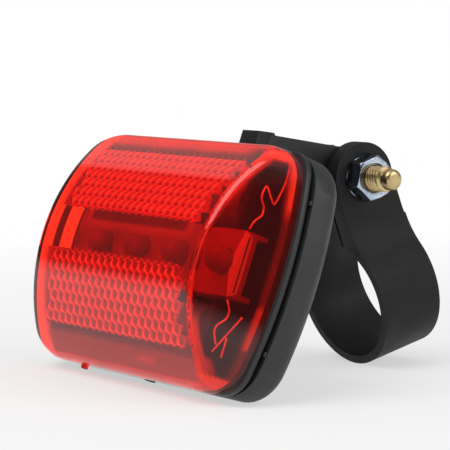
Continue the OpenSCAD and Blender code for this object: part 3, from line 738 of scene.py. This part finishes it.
def build_lens_mesh(s):
    """The lens as closed bodies: points, faces and the material slot of each face."""
    form = LensForm(s)
    outer = lens_band(form, 0.0)
    inner = lens_band(form, form.wall)
    n = outer.shape[1]
    points, faces = [], []
    prisms = {UPPER_PRISMS: [], LOWER_PRISMS: []}

    def add_band(band, flip):
        first = len(points)
        points.extend(map(tuple, band.reshape(-1, 3)))
        faces.extend(ring_faces(first, BAND_ROWS, n, flip))
        return first

    def add_front(band, first, inset, cells, flip):
        coords, tris, origs, lifts = fill_front(form, band[-1], inset, cells)
        index = []
        for c, o in zip(coords, origs):
            if 0 <= o < n:
                index.append(first + BAND_ROWS * n + o)
            else:
                index.append(len(points))
                points.append(tuple(c))
        top = max(lifts) - 0.01
        for t in tris:
            if cells and max(lifts[i] for i in t) > top:
                prisms[UPPER_PRISMS if coords[t[0]][2] > 0 else LOWER_PRISMS].append(len(faces))
            a, b, c = (index[i] for i in t)
            faces.append((a, c, b) if flip else (a, b, c))

    first = add_band(outer, False)
    add_front(outer, first, 0.0, (), False)
    skin = len(faces)
    cells = prism_cells(form, s, s.upper_rows, s.upper_from, 1)
    cells += prism_cells(form, s, s.lower_rows, s.lower_from, -1)

    # Feet that would fall inside a neighbouring cell are left out
    centres = np.array([c["tip"][:2] for c in cells])
    for c in cells:
        c["foot"] = [f for f in c["foot"] if np.min(np.hypot(*(centres - f).T)) > form.pitch * 0.5]
    second = add_band(inner, True)
    add_front(inner, second, form.wall, cells, True)
    slots = [0] * skin + [INNER_WALL] * (len(faces) - skin)
    for slot, members in prisms.items():
        for f in members:
            slots[f] = slot
    for i in range(n):
        j = (i + 1) % n
        faces.append((first + j, first + i, second + i, second + j))
    nub = len(points)
    for drop, r in ((0.02, NUB_R), (0.75, NUB_R), (0.9, NUB_R * 0.75)):
        points += [(NUB_X + a, NUB_Y + b, -form.h - drop) for a, b in circle(r, NUB_SIDES)]
    faces += ring_faces(nub, 2, NUB_SIDES, True)
    end = nub + 2 * NUB_SIDES
    faces += [tuple(range(nub, nub + NUB_SIDES)), tuple(reversed(range(end, end + NUB_SIDES)))]
    slots += [0] * (len(faces) - len(slots))
    return np.array(points), faces, slots


def lens_lattice_and_painted_light(s, points):
    """Per point: two skew coordinates on the prism lattice and the share of painted light, which stands
    for trapped light; negative shares are painted shade.
    """
    form = LensForm(s)
    row = 1.5 * form.pitch / math.sqrt(3)
    r = form.fr - form.wall
    x, y, z = points.T
    v = r * np.arctan2(z, form.axis - y)
    start = np.where(v > 0, s.upper_from, s.lower_from) / MM
    v0 = r * np.arcsin(start / r) + row / 6
    across, along = x / form.pitch, (np.abs(v) - v0) / row - 0.5

    def step(value, low, high):
        t = np.clip((value - low) / (high - low), 0, 1)
        return t * t * (3 - 2 * t)

    ahead = form.front(points, form.wall)
    front = step(ahead, -1.6, -0.9)
    edge = 1 - step(np.abs(ahead - form.sides(points, form.wall)), 0.3, 0.8)
    corner = step(x, 26.0, 28.0) * step(np.abs(z), 19.9, 20.3) * step(1.5 - y, 0.5, 1.0)
    rim = step(x, 28.0, 30.0) * step(y, -1.3, -0.7)

    # Shares of painted glow and painted highlights: left end, top, bottom, right edge, right rim and
    # right corners
    painted_light = np.maximum.reduce([
        step(-x, 24.4, 25.2) * front,
        0.55 * step(z, 19.2, 20.2) * front * (1 - step(x, 20, 26)),
        0.3 * step(-z, 17.0, 18.0) * front,
        edge * step(x, 20, 24) * (0.3 * step(z, 7, 12) + 0.45 * step(-z, 10, 13)),
        rim * (0.12 + 0.6 * step(z, 9, 13) + 0.35 * step(-z, 6, 7) * (1 - step(-z, 14, 15))),
        0.8 * corner])

    # A negative share is painted shade: it darkens the strip under the upper panel
    shade = step(v, 2.0, 3.6) * (v < 5.4) * step(x, -14, -12) * (1 - step(x, 20, 24)) * front
    painted_light = np.where(shade > painted_light, -0.8 * shade, painted_light)
    return np.stack([across - along / 2, along, painted_light], 1)


# Middle lines of the ribs on the right end wall, as places in millimetres in Y and Z
RIB_LINES = (
    ((-1.2, 20.0), (-1.5, 16.4), (-2.2, 13.4), (-2.6, 11.9), (-3.2, 13.0), (-4.2, 15.3),
     (-4.6, 13.8), (-4.7, 12.5), (-4.0, 11.2), (-4.0, 9.5), (-5.0, 8.2), (-5.4, 6.5)),
    ((-5.5, -6.7), (-4.5, -8.6), (-4.6, -10.2), (-5.6, -11.5), (-5.6, -12.8), (-4.6, -14.9)),
    ((-2.5, -9.0), (-3.8, -13.1), (-4.7, -16.3)),
    ((-3.5, -13.2), (-3.1, -16.9)))
RIB_R, RIB_SIDES = 0.2, 6


class REARLIGHT_OT_lens(Operator):
    """Builds the red lens with its rounded edges and two panels of corner-cube prisms"""
    bl_idname = "rear_light.lens"
    bl_label = "Lens"

    def execute(self, context):
        s = context.scene.rear_light_lens
        points, faces, slots = build_lens_mesh(s)
        piece = new_piece("lens_moulding", to_row(points, LAMP), faces, "front",
                          self.red("Lens red", s), ("lens",), sharp=28)
        # The inner wall and the two prism panels are lens red with painted light
        piece.data.materials.append(self.lit("Lens inner wall", s))
        piece.data.materials.append(self.lit("Upper prisms", s, (0.5, 0.24, 0.2)))
        piece.data.materials.append(self.lit("Lower prisms", s, (1.0, 0.33, 0.46)))
        piece.data.polygons.foreach_set("material_index", slots)
        # The marks attribute carries the lattice coordinates and the share of painted light and shade
        marks = piece.data.attributes.new("marks", "FLOAT_VECTOR", "POINT")
        marks.data.foreach_set("vector", lens_lattice_and_painted_light(s, points).astype(np.float32).ravel())
        edit_mesh(piece.data)
        self.ribs(s)
        return {"FINISHED"}

    def red(self, name, s):
        return clear(name, s.colour, s.roughness, LENS_IOR, LENS_SHADE)

    def ribs(self, s):
        """Fine moulded ribs on the inner face of the right end wall, which carry a painted glow: bright
        tones with emission.
        """
        form = LensForm(s)
        points, faces = [], []
        for line in RIB_LINES:
            path = []
            for (y0, z0), (y1, z1) in zip(line[:-1], line[1:]):
                path += [(y0 + (y1 - y0) * k / 6, z0 + (z1 - z0) * k / 6) for k in range(6)]
            path = np.array(path + [line[-1]])
            for _ in range(4):
                path[1:-1] = (path[:-2] + path[2:]) / 4 + path[1:-1] / 2
            first = len(points)
            last = first + RIB_SIDES * (len(path) - 1)
            for i, (y, z) in enumerate(path):
                x = form.w - form.sr + math.sqrt(form.sr ** 2 - z * z) + y * form.slope
                x -= (form.wall + 0.12) * form.slant
                tangent = path[min(i + 1, len(path) - 1)] - path[max(i - 1, 0)]
                across = np.array([-tangent[1], tangent[0]]) / np.linalg.norm(tangent)
                points += [(x - b, y + a * across[0], z + a * across[1])
                           for a, b in circle(RIB_R, RIB_SIDES)]
            faces += ring_faces(first, len(path) - 1, RIB_SIDES)
            faces += [tuple(reversed(range(first, first + RIB_SIDES))),
                      tuple(range(last, last + RIB_SIDES))]
        # Painted glow: the ribs' tones are emitted, not lit
        material, tree, shader = open_material("Ribs painted glow")
        field = tree.place("Moulded grain", Grain_Size=0.0006, Patch_Size=0.004)
        tone = tree.mix(tree.remap(field["Patches"], 0.4, 0.6), s.band, s.bright)
        tree.fill(shader, Base_Color=tone, Emission_Color=tone, Emission_Strength=s.painted_light * 0.6,
                  Roughness=0.4, Normal=tree.bump(field["Height"], 0.4, 0.00001))
        new_piece("lens_ribs", to_row(points, LAMP), faces, "front", material)

    def lit(self, name, s, dots=None):
        """Lens red with painted light: seen from within the plastic, the face's back shines with painted
        tones and emission that stand for trapped light.
        """
        material = self.red(name, s)
        tree = Tree(material.node_tree)
        plain = tree.nodes["Material Output"].inputs["Surface"].links[0].from_socket
        read = tree.node("ShaderNodeAttribute")
        read.attribute_name = "marks"
        marks = read.outputs["Vector"]
        share = tree.node("ShaderNodeNewGeometry").outputs["Backfacing"]
        if dots:
            tone = self.prism_tone(tree, s, marks, *dots)
        else:
            tone, part = self.wall_tone(tree, s, *tree.split(marks))
            share = tree.math("MULTIPLY", part, share)
        shine = tree.node("ShaderNodeBsdfPrincipled", Base_Color=tone, Emission_Color=tone,
                          Emission_Strength=s.painted_light, Roughness=0.5)
        tree.surface(share, plain, shine.outputs[0])
        return material

    # Painted reflection of the corner cubes: lit, brightest and dark tones set out on the lattice
    def prism_tone(self, tree, s, marks, repeat, half_width, half_height):
        field = tree.place("Prism painted reflection", Marks=marks, Repeat=repeat, Half_Width=half_width,
                           Half_Height=half_height)
        return tree.mix(field["Dot"], tree.mix(field["Streak"], s.bright, s.streak), s.dark)

    def wall_tone(self, tree, s, a, b, painted_light):
        """Tone and share of the painted light: painted glow in the marked zones, painted shade where the
        share is negative, and painted bright bars with painted shade between them in the window's left
        end.
        """
        across = tree.math("ADD", a, tree.math("MULTIPLY", b, 0.5))
        across = tree.math("MULTIPLY", across, s.pitch / MM)
        window = tree.remap(b, -0.5, -0.56)
        left = tree.math("MULTIPLY", tree.remap(across, *WINDOW_END), window)
        bar = tree.math("MULTIPLY", tree.remap(across, *BAR_START), tree.remap(across, *BAR_END))
        bar = tree.math("MAXIMUM", bar, tree.remap(across, *STRIP_END))
        bar = tree.math("MULTIPLY", bar, left)
        lit = tree.math("MAXIMUM", tree.math("MAXIMUM", painted_light, bar), 0.0)
        shade = tree.math("ADD", tree.math("SUBTRACT", left, bar, clamp=True),
                          tree.math("MULTIPLY", painted_light, -1.25, clamp=True), clamp=True)
        tone = tree.mix(shade, tree.mix(lit, s.dim, s.band), [c * 0.3 for c in s.dark])
        return tone, tree.math("MAXIMUM", tree.math("ABSOLUTE", painted_light), left)


# Case, frame, seal and button

class REARLIGHT_OT_case(Operator):
    """Finishes the case, the front frame, the sealing ring and the mode button"""
    bl_idname = "rear_light.case"
    bl_label = "Case and frame"

    def execute(self, context):
        m = context.scene.rear_light_moulding
        case = plastic("Housing plastic", m.case, (0.42, 0.56), m.grain)
        rim = plastic("Frame plastic", [c * 0.8 for c in m.case], (0.34, 0.46), m.grain)
        rubber = plastic("Rubber", m.rubber, (0.55, 0.75), m.grain * 0.7, dust=0.4)
        softened("rear_case", "case_moulding", m.soft_edge, case)
        softened("front_frame", "frame_moulding", m.soft_edge * 0.8, rim)
        softened("mode_button", "button_moulding", m.soft_edge * 0.8, rubber)
        dress("case_seal", rubber)
        return {"FINISHED"}


# Diodes, board and batteries

class REARLIGHT_OT_inside(Operator):
    """Finishes the diodes, their holder, the circuit board, the batteries and the contacts"""
    bl_idname = "rear_light.inside"
    bl_label = "Inside"

    def execute(self, context):
        s = context.scene.rear_light_inside
        fine = {"depth": 0.00001, "dust": 0.0}
        white = plastic("Holder plastic", s.holder, (0.25, 0.4), 0.0006, lift=1.05, **fine)
        resin = clear("Diode resin", s.diode, 0.12, 1.5, (0.95, 0.95, 0.95), through=0.35)
        board = plastic("Board green", (0.03, 0.16, 0.07), (0.3, 0.45), 0.0008, lift=1.6, **fine)
        chip = plastic("Chip black", (0.02, 0.02, 0.022), (0.4, 0.55), 0.0002, lift=1.4, **fine)
        cell = plastic("Battery wrapper", s.cell, (0.2, 0.35), 0.001, lift=1.2, Coat_Weight=0.4, **fine)
        steel = metal("Contact steel", (0.7, 0.7, 0.68))
        # The end frames get a painted glow: holder plastic with emission
        lit = plastic("Holder end frames painted glow", s.holder, (0.25, 0.4), 0.0006, lift=1.05,
                      Emission_Color=(1.0, 0.75, 0.6), Emission_Strength=s.frame_painted_glow, **fine)
        self.paint_end_glow(softened("led_holder", "holder_moulding", 0.0002, white), lit)
        dress("circuit_board", board)
        dress("control_chip", chip)
        for k in range(1, 6):
            dress(f"led_{k}", resin)
        for k in (1, 2):
            softened(f"battery_{k}", f"cell_{k}", 0.0003, cell)
            dress(f"contact_plate_{k}", steel)
            dress(f"contact_spring_{k}", steel)
        dress("mode_switch", steel)
        dress("contact_link", steel)
        return {"FINISHED"}

    def paint_end_glow(self, holder, material):
        """The faces of the holder's end frames that get a painted glow, in the lamp's millimetres."""
        holder.data.materials.append(material)
        back = LAMP.inverted()
        turn = back.to_3x3()
        for face in holder.data.polygons:
            spot = back @ face.center / MM
            ahead = (turn @ face.normal).y < -0.5
            if abs(spot.x) > 29.2 and (ahead or abs(spot.x) > 30.35 and spot.y < -4.4):
                face.material_index = 1


# Bracket and clamp

class REARLIGHT_OT_bracket(Operator):
    """Finishes the bracket arm and the clamp that holds the lamp to a tube"""
    bl_idname = "rear_light.bracket"
    bl_label = "Bracket and clamp"

    def execute(self, context):
        m = context.scene.rear_light_moulding
        arm = plastic("Bracket plastic", m.arm, (0.36, 0.52), m.grain, Specular_IOR_Level=0.36)
        band = plastic("Clamp plastic", m.clamp, (0.46, 0.62), m.grain, Specular_IOR_Level=0.24)
        softened("bracket_arm", "bracket_moulding", m.soft_edge, arm)
        softened("clamp_ring", "clamp_moulding", m.soft_edge * 1.6, band, 3,
                 first=(0.0011, 4, SHARP, self.ear_rim))
        return {"FINISHED"}

    def ear_rim(self, edge):
        """Outer rims of the ears, away from the bolt's and the nut's seats, in millimetres."""
        back = CLAMP.inverted()
        ends = [back @ v.co / MM for v in edge.verts]
        if max(abs(p.x) for p in ends) <= 7.85:
            return False
        return all(abs(p.x) > 6.5 and p.z > 10 and math.hypot(p.y - BOLT_Y, p.z - BOLT_Z) > 5.6
                   for p in ends)


# Bolt and nut

def hexagon(across, angles, corner):
    """Radii of a hexagon at those angles, with a corner at the given angle in degrees."""
    turn = (np.degrees(angles) - corner) % 60 - 30
    return across / 2 / np.cos(np.radians(turn))


def thread_rings(s, start, stop, angles):
    """Rings of a helical thread along the bolt from start to stop, in millimetres."""
    pitch, crest, depth = s.thread_pitch / MM, s.bolt_r / MM, 0.42
    rings = []
    for x in list(np.arange(start, stop, pitch / 12)) + [stop]:
        phase = ((x - start) / pitch - angles / (2 * math.pi)) % 1.0
        cut = np.clip(1 - np.abs(phase - 0.5) / 0.42, 0, 1)
        fade = min(1.0, (x - start) / 0.4, (stop - x) / 0.3 + 0.1)
        rings.append((x, crest - depth * cut * fade))
    return rings


def lathed(name, rings, angles, material, replaces, angle=SHARP, edge=0.0):
    """A closed body of revolution with free radii per angle, along the clamp's bolt."""
    seg, points = len(angles), []
    for x, radii in rings:
        radii = np.broadcast_to(radii, (seg,))
        points += [(x, BOLT_Y + r * math.cos(t), BOLT_Z + r * math.sin(t))
                   for r, t in zip(radii, angles)]
    piece = new_piece(name, to_row(points, CLAMP), ring_faces(0, len(rings) - 1, seg), "clamp",
                      material, replaces)
    edit_mesh(piece.data, 1e-6, edge, angle)
    piece.data.shade_smooth()
    piece.data.set_sharp_from_angle(angle=math.radians(angle))
    return piece


class REARLIGHT_OT_hardware(Operator):
    """Builds the threaded clamp bolt with its dog point and the chamfered nut"""
    bl_idname = "rear_light.hardware"
    bl_label = "Bolt and nut"

    def execute(self, context):
        s = context.scene.rear_light_hardware
        bolt = metal("Bolt zinc", s.bolt_colour, (0.2, 0.4), (0.5, 0.34, 0.18))
        zinc = metal("Nut zinc", s.nut_colour, (0.1, 0.26), (0.42, 0.5, 0.62))
        seat, face = (corner.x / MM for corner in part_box("clamp_nut"))
        head, end = (corner.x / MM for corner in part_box("clamp_bolt"))
        r, across = s.bolt_r / MM, s.nut_af / MM
        corner = across / math.sqrt(3)

        # Head, shank, thread, neck and the rounded dog point
        angles = np.radians(np.arange(0, 360, 7.5))
        six = hexagon(across, angles, 30)
        rings = [(head, 0.0), (head, r * 0.8), (head + 0.3, corner * 0.84),
                 (head + 0.8, six), (head + 3.4, six), (head + 3.4, r), (face - 0.62, r)]
        rings += thread_rings(s, face - 0.6, end - 2.8, angles)
        rings += [(end - 2.45, 1.86), (end - 2.0, 1.86), (end - 1.85, 2.08), (end - 0.95, 2.08)]
        rings += [(end - 0.95 + 0.95 * math.sin(q), 1.1 + 0.98 * math.cos(q))
                  for q in np.radians((22, 44, 66, 90))]
        lathed("bolt_turned", rings + [(end, 0.0)], angles, bolt, ("clamp_bolt",))

        # Seat, chamfered hexagon and countersunk face
        angles = np.radians(np.arange(0, 360, 5) + 3)
        six = hexagon(across, angles, 3)
        rings = [(seat, r + 0.05), (seat, corner - 0.45)]
        rings += [(seat + d, np.minimum(six, corner - 0.45 + 1.6 * d)) for d in (0.1, 0.2, 0.3)]
        rings += [(face - d, np.minimum(six, corner - 0.6 + 1.6 * d)) for d in (0.4, 0.3, 0.2, 0.1)]
        rings += [(face, corner - 0.6), (face, r + 0.5), (face - 0.45, r + 0.05), (seat, r + 0.05)]
        lathed("nut_turned", rings, angles, zinc, ("clamp_nut",), 20, 0.00006)
        return {"FINISHED"}


# Stage

FLOOR_RINGS, FLOOR_SIDES = (0.06, 0.12, 0.25, 0.5, 1.0, 2.0, 4.0, 8.0), 64

# Camera in the lamp's axes, solved from the photo: lens in millimetres, place in metres
LENS_MM, SENSOR_MM = 184.2, 36.0
CAMERA_PLACE = (0.3694, -0.2384, -0.0427)
CAMERA_RIGHT, CAMERA_UP = (0.562, 0.774, 0.291), (-0.070, -0.306, 0.950)


class REARLIGHT_OT_stage(Operator):
    """Builds the pale floor, the soft lights, the surround and the camera"""
    bl_idname = "rear_light.stage"
    bl_label = "Stage"

    def execute(self, context):
        scene = context.scene
        s = scene.rear_light_studio
        self.floor()
        self.world(scene, s)
        self.lights(s)
        self.camera(scene)
        scene.view_settings.view_transform = "Standard"
        scene.cycles.max_bounces = 24
        scene.cycles.transmission_bounces = 20
        scene.cycles.glossy_bounces = 8
        scene.cycles.transparent_max_bounces = 16
        return {"FINISHED"}

    def floor(self):
        z = min(c[2] for c in CAD_BOX)
        points = [(0, 0, z)]
        for r in FLOOR_RINGS:
            points += [(a, b, z) for a, b in circle(r, FLOOR_SIDES)]
        faces = [(0, 1 + k, 1 + (k + 1) % FLOOR_SIDES) for k in range(FLOOR_SIDES)]
        faces += ring_faces(1, len(FLOOR_RINGS) - 1, FLOOR_SIDES, True)
        mesh = bpy.data.meshes.new("floor")
        mesh.from_pydata(points, [], faces)
        mesh.materials.append(self.floor_material())
        new_object("floor", mesh)

    def floor_material(self):
        """Pale and matt, and whiter to the camera the further it lies from the lamp."""
        material, tree, shader = open_material("Floor")
        tree.fill(shader, Base_Color=(0.9, 0.9, 0.9), Roughness=0.9, Specular_IOR_Level=0.1)
        white = tree.node("ShaderNodeEmission")
        length = tree.node("ShaderNodeVectorMath")
        length.operation = "LENGTH"
        tree.feed(length.inputs[0], tree.node("ShaderNodeTexCoord").outputs["Object"])
        far = tree.remap(length.outputs["Value"], 0.05, 0.3, 0.55, 1.0)
        path = tree.node("ShaderNodeLightPath").outputs
        seen = tree.math("MAXIMUM", path["Is Camera Ray"], path["Is Glossy Ray"])
        tree.surface(tree.math("MULTIPLY", far, seen), shader.outputs[0], white.outputs[0])
        return material

    def world(self, scene, s):
        """A bright sweep and table behind the lamp, a ceiling, and a dim room before it."""
        world = bpy.data.worlds.new("Studio")
        scene.world = world
        world.use_nodes = True
        tree = Tree(world.node_tree)
        split = tree.split(tree.node("ShaderNodeTexCoord").outputs["Generated"])
        bearing = tree.math("ARCTAN2", split["Y"], tree.math("MULTIPLY", split["X"], -1.0))
        sweep = tree.remap(bearing, math.radians(-4), math.radians(-1), 0.0, s.sweep)
        fade = tree.remap(bearing, math.radians(5), math.radians(25), 1.0, 0.5)
        ceiling = tree.remap(split["Z"], 0.62, 0.8, s.room, s.ceiling)
        table = tree.remap(split["Z"], 0.1, 0.0)
        bright = tree.math("MAXIMUM", tree.math("MULTIPLY", sweep, fade), table)
        back = tree.fill(tree.nodes["Background"], Color=(1, 1, 1),
                         Strength=tree.math("MAXIMUM", bright, ceiling))
        white = tree.node("ShaderNodeBackground", Color=(1, 1, 1))
        path = tree.node("ShaderNodeLightPath").outputs
        seen = tree.math("MAXIMUM", path["Is Camera Ray"], path["Is Transmission Ray"])
        tree.surface(seen, back.outputs[0], white.outputs[0], "World Output")

    def lights(self, s):
        """Two large soft lights, one before and over the lamp and one from behind its side."""
        for name, power, place in (("key", s.key, (0.15, -0.65, 1.0)),
                                   ("fill", s.fill, (0.9, 0.5, 0.55))):
            data = bpy.data.lights.new(name, "AREA")
            data.shape, data.size, data.energy = "SQUARE", 0.8, power
            light = new_object(name, data)
            light.location = place
            light.rotation_euler = (-Vector(place)).to_track_quat("-Z", "Y").to_euler()

    def camera(self, scene):
        data = bpy.data.cameras.new("Camera")
        data.lens, data.sensor_width, data.clip_start = LENS_MM, SENSOR_MM, 0.01
        right, up = Vector(CAMERA_RIGHT), Vector(CAMERA_UP)
        back = right.cross(up).normalized()
        up = back.cross(right).normalized()
        turn = Matrix((right.normalized(), up, back)).transposed().to_4x4()
        camera = new_object("Camera", data)
        camera.matrix_world = LAMP @ Matrix.Translation(Vector(CAMERA_PLACE)) @ turn
        scene.camera = camera


class REARLIGHT_PT_panel(Panel):
    """Lists the operators that dress the rear light"""
    bl_idname = "REARLIGHT_PT_panel"
    bl_label = "Rear light"
    bl_space_type = "VIEW_3D"
    bl_region_type = "UI"
    bl_category = "Rear light"

    def draw(self, context):
        for operator in OPERATORS:
            self.layout.operator(operator.bl_idname)
        for name in SETTINGS:
            box = self.layout.box()
            group = getattr(context.scene, name)
            for key in group.bl_rna.properties.keys():
                if key not in ("rna_type", "name"):
                    box.prop(group, key)


SETTINGS = {
    "rear_light_lens": LensSettings,
    "rear_light_moulding": MouldingSettings,
    "rear_light_hardware": HardwareSettings,
    "rear_light_inside": InsideSettings,
    "rear_light_studio": StudioSettings,
}
OPERATORS = (REARLIGHT_OT_stage, REARLIGHT_OT_lens, REARLIGHT_OT_case, REARLIGHT_OT_inside,
             REARLIGHT_OT_bracket, REARLIGHT_OT_hardware)


def register():
    for group in SETTINGS.values():
        bpy.utils.register_class(group)
    for name, group in SETTINGS.items():
        setattr(bpy.types.Scene, name, PointerProperty(type=group))
    for operator in OPERATORS:
        bpy.utils.register_class(operator)
    bpy.utils.register_class(REARLIGHT_PT_panel)


def unregister():
    bpy.utils.unregister_class(REARLIGHT_PT_panel)
    for operator in reversed(OPERATORS):
        bpy.utils.unregister_class(operator)
    for name, group in SETTINGS.items():
        delattr(bpy.types.Scene, name)
        bpy.utils.unregister_class(group)


def main():
    register()
    bpy.ops.rear_light.stage()
    bpy.ops.rear_light.lens()
    bpy.ops.rear_light.case()
    bpy.ops.rear_light.inside()
    bpy.ops.rear_light.bracket()
    bpy.ops.rear_light.hardware()


if __name__ == "__main__":
    main()
